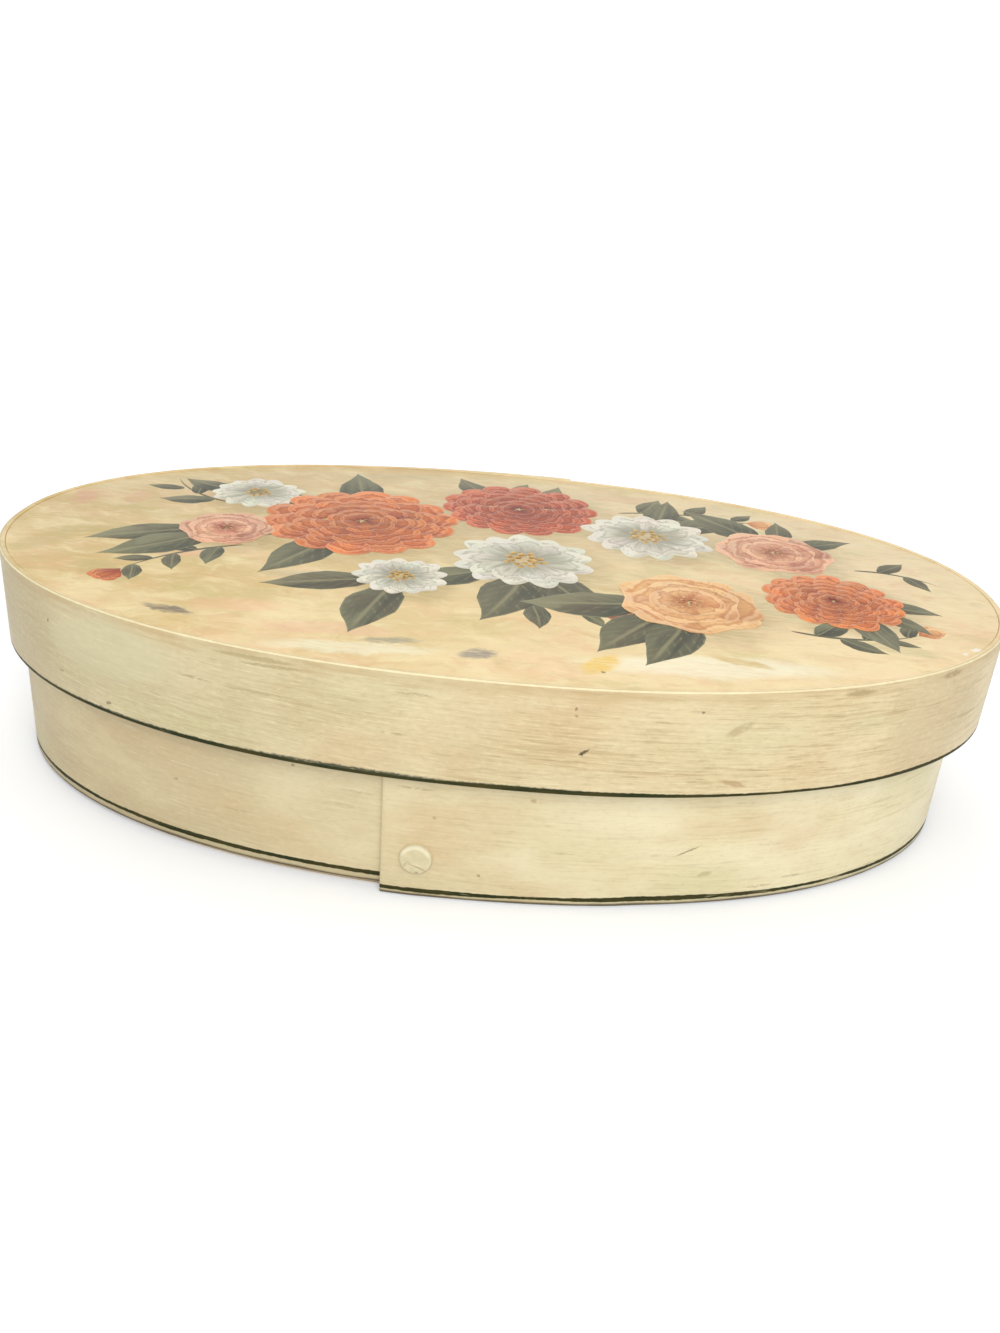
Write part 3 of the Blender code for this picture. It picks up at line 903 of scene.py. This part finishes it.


# Lid strip
# One strip of basswood bent round the lid board, lapped and glued at the back. It is painted cream like
# the body, glazed more heavily with tan, and its lower edge is lined in dark green.

# Creams at the left end, darker as painted shade, then at the right end, paler as painted light.
lid_creams = ((0.62, 0.53, 0.31), (0.69, 0.59, 0.355), (0.77, 0.62, 0.355), (0.84, 0.70, 0.43))
lid_marks = (
    (0.3500, 0.0220, 0.0, 0.0500, 0.0600, (0.48, 0.37, 0.20), 0.40),
    (0.4000, 0.0255, 4.0, 0.0620, 0.0240, (0.70, 0.67, 0.42), 0.45),
    (0.7000, 0.0220, 0.0, 0.0500, 0.0600, (0.56, 0.42, 0.23), 0.42),
    (0.4100, 0.0012, 0.0, 0.1500, 0.0022, (0.045, 0.046, 0.018), 0.90),
    (0.4870, 0.0015, 0.0, 0.0900, 0.0028, (0.034, 0.048, 0.020), 0.95),
    (0.5480, 0.0014, 0.0, 0.0640, 0.0024, (0.036, 0.044, 0.016), 0.95),
    (0.3990, 0.0048, 20.0, 0.0026, 0.0014, (0.24, 0.18, 0.10), 0.75),
    (0.3750, 0.0098, 0.0, 0.0032, 0.0011, (0.36, 0.28, 0.15), 0.60),
    (0.3695, 0.0276, 60.0, 0.0018, 0.0011, (0.26, 0.19, 0.10), 0.75),
    (0.4590, 0.0370, 0.0, 0.0300, 0.0018, (0.34, 0.30, 0.12), 0.55),
    (0.4640, 0.0350, 2.0, 0.0220, 0.0011, (0.30, 0.26, 0.11), 0.50),
    (0.4600, 0.0246, 0.0, 0.0260, 0.0011, (0.44, 0.38, 0.18), 0.50),
    (0.5680, 0.0170, 40.0, 0.0044, 0.0010, (0.10, 0.07, 0.03), 0.90),
    (0.5672, 0.0163, 100.0, 0.0020, 0.0010, (0.10, 0.07, 0.03), 0.85),
    (0.5640, 0.0326, 80.0, 0.0016, 0.0009, (0.24, 0.18, 0.10), 0.70),
    (0.5642, 0.0300, 0.0, 0.0012, 0.0009, (0.28, 0.21, 0.12), 0.60),
    (0.6050, 0.0327, 0.0, 0.0013, 0.0010, (0.20, 0.10, 0.06), 0.85),
    (0.6185, 0.0263, 30.0, 0.0110, 0.0034, (0.48, 0.36, 0.18), 0.55),
    (0.6195, 0.0056, -15.0, 0.0100, 0.0022, (0.45, 0.28, 0.12), 0.60),
    (0.6605, 0.0372, 0.0, 0.0130, 0.0024, (0.34, 0.23, 0.10), 0.60),
    (0.7025, 0.0375, 0.0, 0.0110, 0.0028, (0.30, 0.20, 0.09), 0.65),
)
lid_low, lid_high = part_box("lid_band")
lid_strip = Strip(lid_oval, lid_low.z, lid_high.z, 0.0)
lid_depth = lid_high.z - lid_low.z
lid_paint = cream_paint_material(
    "cream paint on the lid", lid_creams, 0.52, lid_marks, 0.0010, 0.0, 0.0018, 0.0004, lid_depth
)
lid_paints = [lid_paint, strip_wood, ground_paint]
finished_piece("lid_strip_painted", bent_strip(lid_strip, 2), lid_paints, "lid", "lid_band")


# Lap buttons
# Turned wooden buttons, half an inch across, glued into holes through both layers of each lap. The paint
# runs over their low rounded heads and fills the joint round them.

button_radius = 0.00635
head_width = 0.00585
head_height = 0.0061
button_round = 0.0008
button_rise = 0.0013
button_sunk = 0.0016
button_from_seam = 0.0125
button_steps = 64
button_rings = 10
crown = 0.0001
ridge_depth = 0.00018
ridge_width = 0.00045
ridge_slant = 0.45
ridge_below_middle = 0.42
button_marks = (
    (0.0008, -0.0028, -24.0, 0.0085, 0.0007, (0.44, 0.34, 0.18), 0.75),
    (0.0002, -0.0019, -10.0, 0.0040, 0.0006, (0.90, 0.82, 0.56), 0.70),
    (-0.0036, -0.0022, 60.0, 0.0030, 0.0007, (0.46, 0.36, 0.19), 0.60),
    (0.0006, -0.0049, 0.0, 0.0016, 0.0009, (0.24, 0.17, 0.08), 0.70),
)


def button_material(name):
    material, tree, shader = start_material(
        name, Specular_IOR_Level=0.4, Coat_Weight=0.2, Coat_Roughness=0.25
    )
    uv = surface_uv(tree)
    from_middle = length_of(tree, uv)
    brushed = cloud(tree, uv, (180.0, 900.0, 1.0), 4.0, 0.6, turn=0.3)
    patches = cloud(tree, uv, (260.0, 260.0, 1.0), 3.0)
    colour = layered(tree, ease(tree, patches, 0.35, 0.65), (0.68, 0.60, 0.37), (0.76, 0.67, 0.42))
    colour = layered(tree, ease(tree, brushed, 0.5, 0.8, 0.0, 0.35), colour, (0.56, 0.45, 0.26))
    # Painted highlight: a pale arc round the upper edge of the head.
    upper = ease(tree, part_of(tree, uv, "Y"), 0.0005, 0.0035)
    lit = times(tree, ease(tree, from_middle, 0.0040, 0.0049), upper)
    colour = layered(tree, times(tree, lit, 0.75), colour, (0.92, 0.85, 0.60))
    # The dark joint round the head, made heavier below as painted shade.
    lower = ease(tree, part_of(tree, uv, "Y"), 0.0005, -0.0035, 0.25, 0.9)
    joint_and_shade = times(tree, ease(tree, from_middle, 0.0053, 0.0060), lower)
    colour = layered(tree, joint_and_shade, colour, (0.34, 0.26, 0.12))
    wavering = loosened(tree, uv, 500.0, 0.0012)
    colour = spotted(tree, colour, wavering, ease(tree, brushed, 0.35, 0.55, 0.5, 1.0), button_marks)
    finish_material(tree, shader, colour, ease(tree, brushed, 0.3, 0.7, 0.36, 0.50), brushed, 0.00008)
    return material


def lap_button(name, strip, height, material, body, node):
    """A low round head square to the lap, with a shallow furrow left across its lower half by the brush."""
    before = strip.outer_face(button_from_seam - button_radius)
    after = strip.outer_face(button_from_seam + button_radius)
    along = (after - before).normalized()
    outward = along.cross(Vector((0.0, 0.0, 1.0)))
    seat = strip.outer_face(button_from_seam) + Vector((0.0, 0.0, height))
    profile = [(0.0, -button_sunk), (button_radius, -button_sunk)]
    for step in range(edge_steps + 2):
        angle = math.pi / 2 * step / (edge_steps + 1)
        across = button_radius - button_round * (1.0 - math.cos(angle))
        profile.append((across, button_rise - button_round * (1.0 - math.sin(angle))))
    inner = button_radius - button_round
    for ring in range(1, button_rings + 1):
        share = 1.0 - ring / button_rings
        profile.append((inner * share, button_rise + crown * (1.0 - share**2)))
    bm = bmesh.new()
    surface = bm.loops.layers.uv.new("surface")
    verts = [bm.verts.new((across, 0.0, up)) for across, up in profile]
    edges = [bm.edges.new(pair) for pair in zip(verts, verts[1:])]
    bmesh.ops.spin(
        bm, geom=verts + edges, cent=(0.0, 0.0, 0.0), axis=(0.0, 0.0, 1.0),
        angle=2 * math.pi, steps=button_steps, use_merge=True,
    )
    bmesh.ops.remove_doubles(bm, verts=bm.verts, dist=crown / button_rings)
    slant = Vector((ridge_slant, 1.0, 0.0)).normalized()
    for vert in bm.verts:
        if vert.co.z > button_rise - crown:
            across = vert.co.dot(slant) + button_radius * ridge_below_middle
            vert.co.z -= ridge_depth * math.exp(-((across / ridge_width) ** 2))
    bmesh.ops.scale(bm, vec=(head_width / button_radius, head_height / button_radius, 1.0), verts=bm.verts)
    bmesh.ops.recalc_face_normals(bm, faces=bm.faces)
    for face in bm.faces:
        for corner in face.loops:
            corner[surface].uv = corner.vert.co.xy
    lap_axes = Matrix((along, Vector((0.0, 0.0, 1.0)), outward)).transposed().to_4x4()
    bmesh.ops.transform(bm, matrix=Matrix.Translation(seat) @ lap_axes, verts=bm.verts)
    bmesh.ops.recalc_face_normals(bm, faces=bm.faces)
    finished_piece(name, bm, [material], body, node)


button_paint = button_material("cream paint on the buttons")
for node in ("body_lap_button_lower", "body_lap_button_upper", "lid_lap_button"):
    low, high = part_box(node)
    strip, body = (lid_strip, "lid") if node.startswith("lid") else (body_strip, "body")
    lap_button(node + "_painted", strip, (low.z + high.z) / 2, button_paint, body, node)


# Floor, light and camera
# A white sweep that keeps the box's soft shadow, one large lamp from the front right, a fill from above,
# and the camera where the photograph was taken from.

floor_reach = 3.0
floor_back = 1.6
sweep_height = 2.4
sweep_round = 0.5
sweep_steps = 12


def sweep_material(name):
    material, tree, shader = start_material(name, Roughness=0.9, Specular_IOR_Level=0.1)
    shader.inputs["Base Color"].default_value = (0.93, 0.93, 0.93, 1.0)
    shader.inputs["Emission Color"].default_value = (0.88, 0.94, 1.0, 1.0)
    path = new_node(tree, "ShaderNodeLightPath")
    reach = length_of(tree, object_place(tree))
    glow = times(tree, path.outputs["Is Camera Ray"], ease(tree, reach, 0.26, 0.80, 0.21, 0.55))
    tree.links.new(glow, shader.inputs["Emission Strength"])
    return material


sweep = bmesh.new()
line = [(-floor_reach, 0.0), (floor_back - sweep_round, 0.0)]
for step in range(1, sweep_steps + 1):
    angle = math.pi / 2 * step / sweep_steps
    back = floor_back - sweep_round * (1.0 - math.sin(angle))
    line.append((back, sweep_round * (1.0 - math.cos(angle))))
line.append((floor_back, sweep_height))
verts = [sweep.verts.new((-floor_reach, y, z)) for y, z in line]
edges = [sweep.edges.new(pair) for pair in zip(verts, verts[1:])]
made = bmesh.ops.extrude_edge_only(sweep, edges=edges)["geom"]
moved = [item for item in made if isinstance(item, bmesh.types.BMVert)]
bmesh.ops.translate(sweep, verts=moved, vec=(2 * floor_reach, 0.0, 0.0))
bmesh.ops.recalc_face_normals(sweep, faces=sweep.faces)
sweep_mesh = bpy.data.meshes.new("white_sweep")
sweep.to_mesh(sweep_mesh)
sweep.free()
sweep_mesh.shade_smooth()
sweep_mesh.materials.append(sweep_material("white sweep"))
white_sweep = bpy.data.objects.new("white_sweep", sweep_mesh)
bpy.context.scene.collection.objects.link(white_sweep)

world = bpy.data.worlds.new("studio")
bpy.context.scene.world = world
world.use_nodes = True
backdrop = world.node_tree.nodes["Background"]
backdrop.inputs["Color"].default_value = (1.0, 1.0, 1.0, 1.0)
path = new_node(world.node_tree, "ShaderNodeLightPath")
seen = times(world.node_tree, path.outputs["Is Camera Ray"], 0.48)
world.node_tree.links.new(plus(world.node_tree, seen, 0.52), backdrop.inputs["Strength"])


def area_light(name, place, target, size, power):
    light = bpy.data.lights.new(name, "AREA")
    light.shape = "SQUARE"
    light.size = size
    light.energy = power
    lamp = bpy.data.objects.new(name, light)
    lamp.location = place
    lamp.rotation_euler = (Vector(target) - Vector(place)).to_track_quat("-Z", "Y").to_euler()
    bpy.context.scene.collection.objects.link(lamp)


area_light("front_right_softbox", (0.24, -1.20, 1.10), (0.0, 0.0, 0.03), 0.9, 12.2)
area_light("overhead_softbox", (-0.2, 0.35, 1.5), (0.0, 0.0, 0.03), 1.2, 5.5)

eye = Vector((0.0206, -0.4338, 0.2483))
right = Vector((0.99495, 0.06962, 0.07230))
up = Vector((-0.09531, 0.42964, 0.89796))
photo_height = 1333.0
focal_pixels = 1124.76
lens = bpy.data.cameras.new("photograph")
lens.sensor_width = 36.0
lens.lens = focal_pixels / photo_height * lens.sensor_width
lens.clip_start = 0.01
camera = bpy.data.objects.new("photograph", lens)
camera.matrix_world = Matrix.Translation(eye) @ Matrix((right, up, right.cross(up))).transposed().to_4x4()
bpy.context.scene.collection.objects.link(camera)
bpy.context.scene.camera = camera
bpy.context.scene.view_settings.view_transform = "Standard"
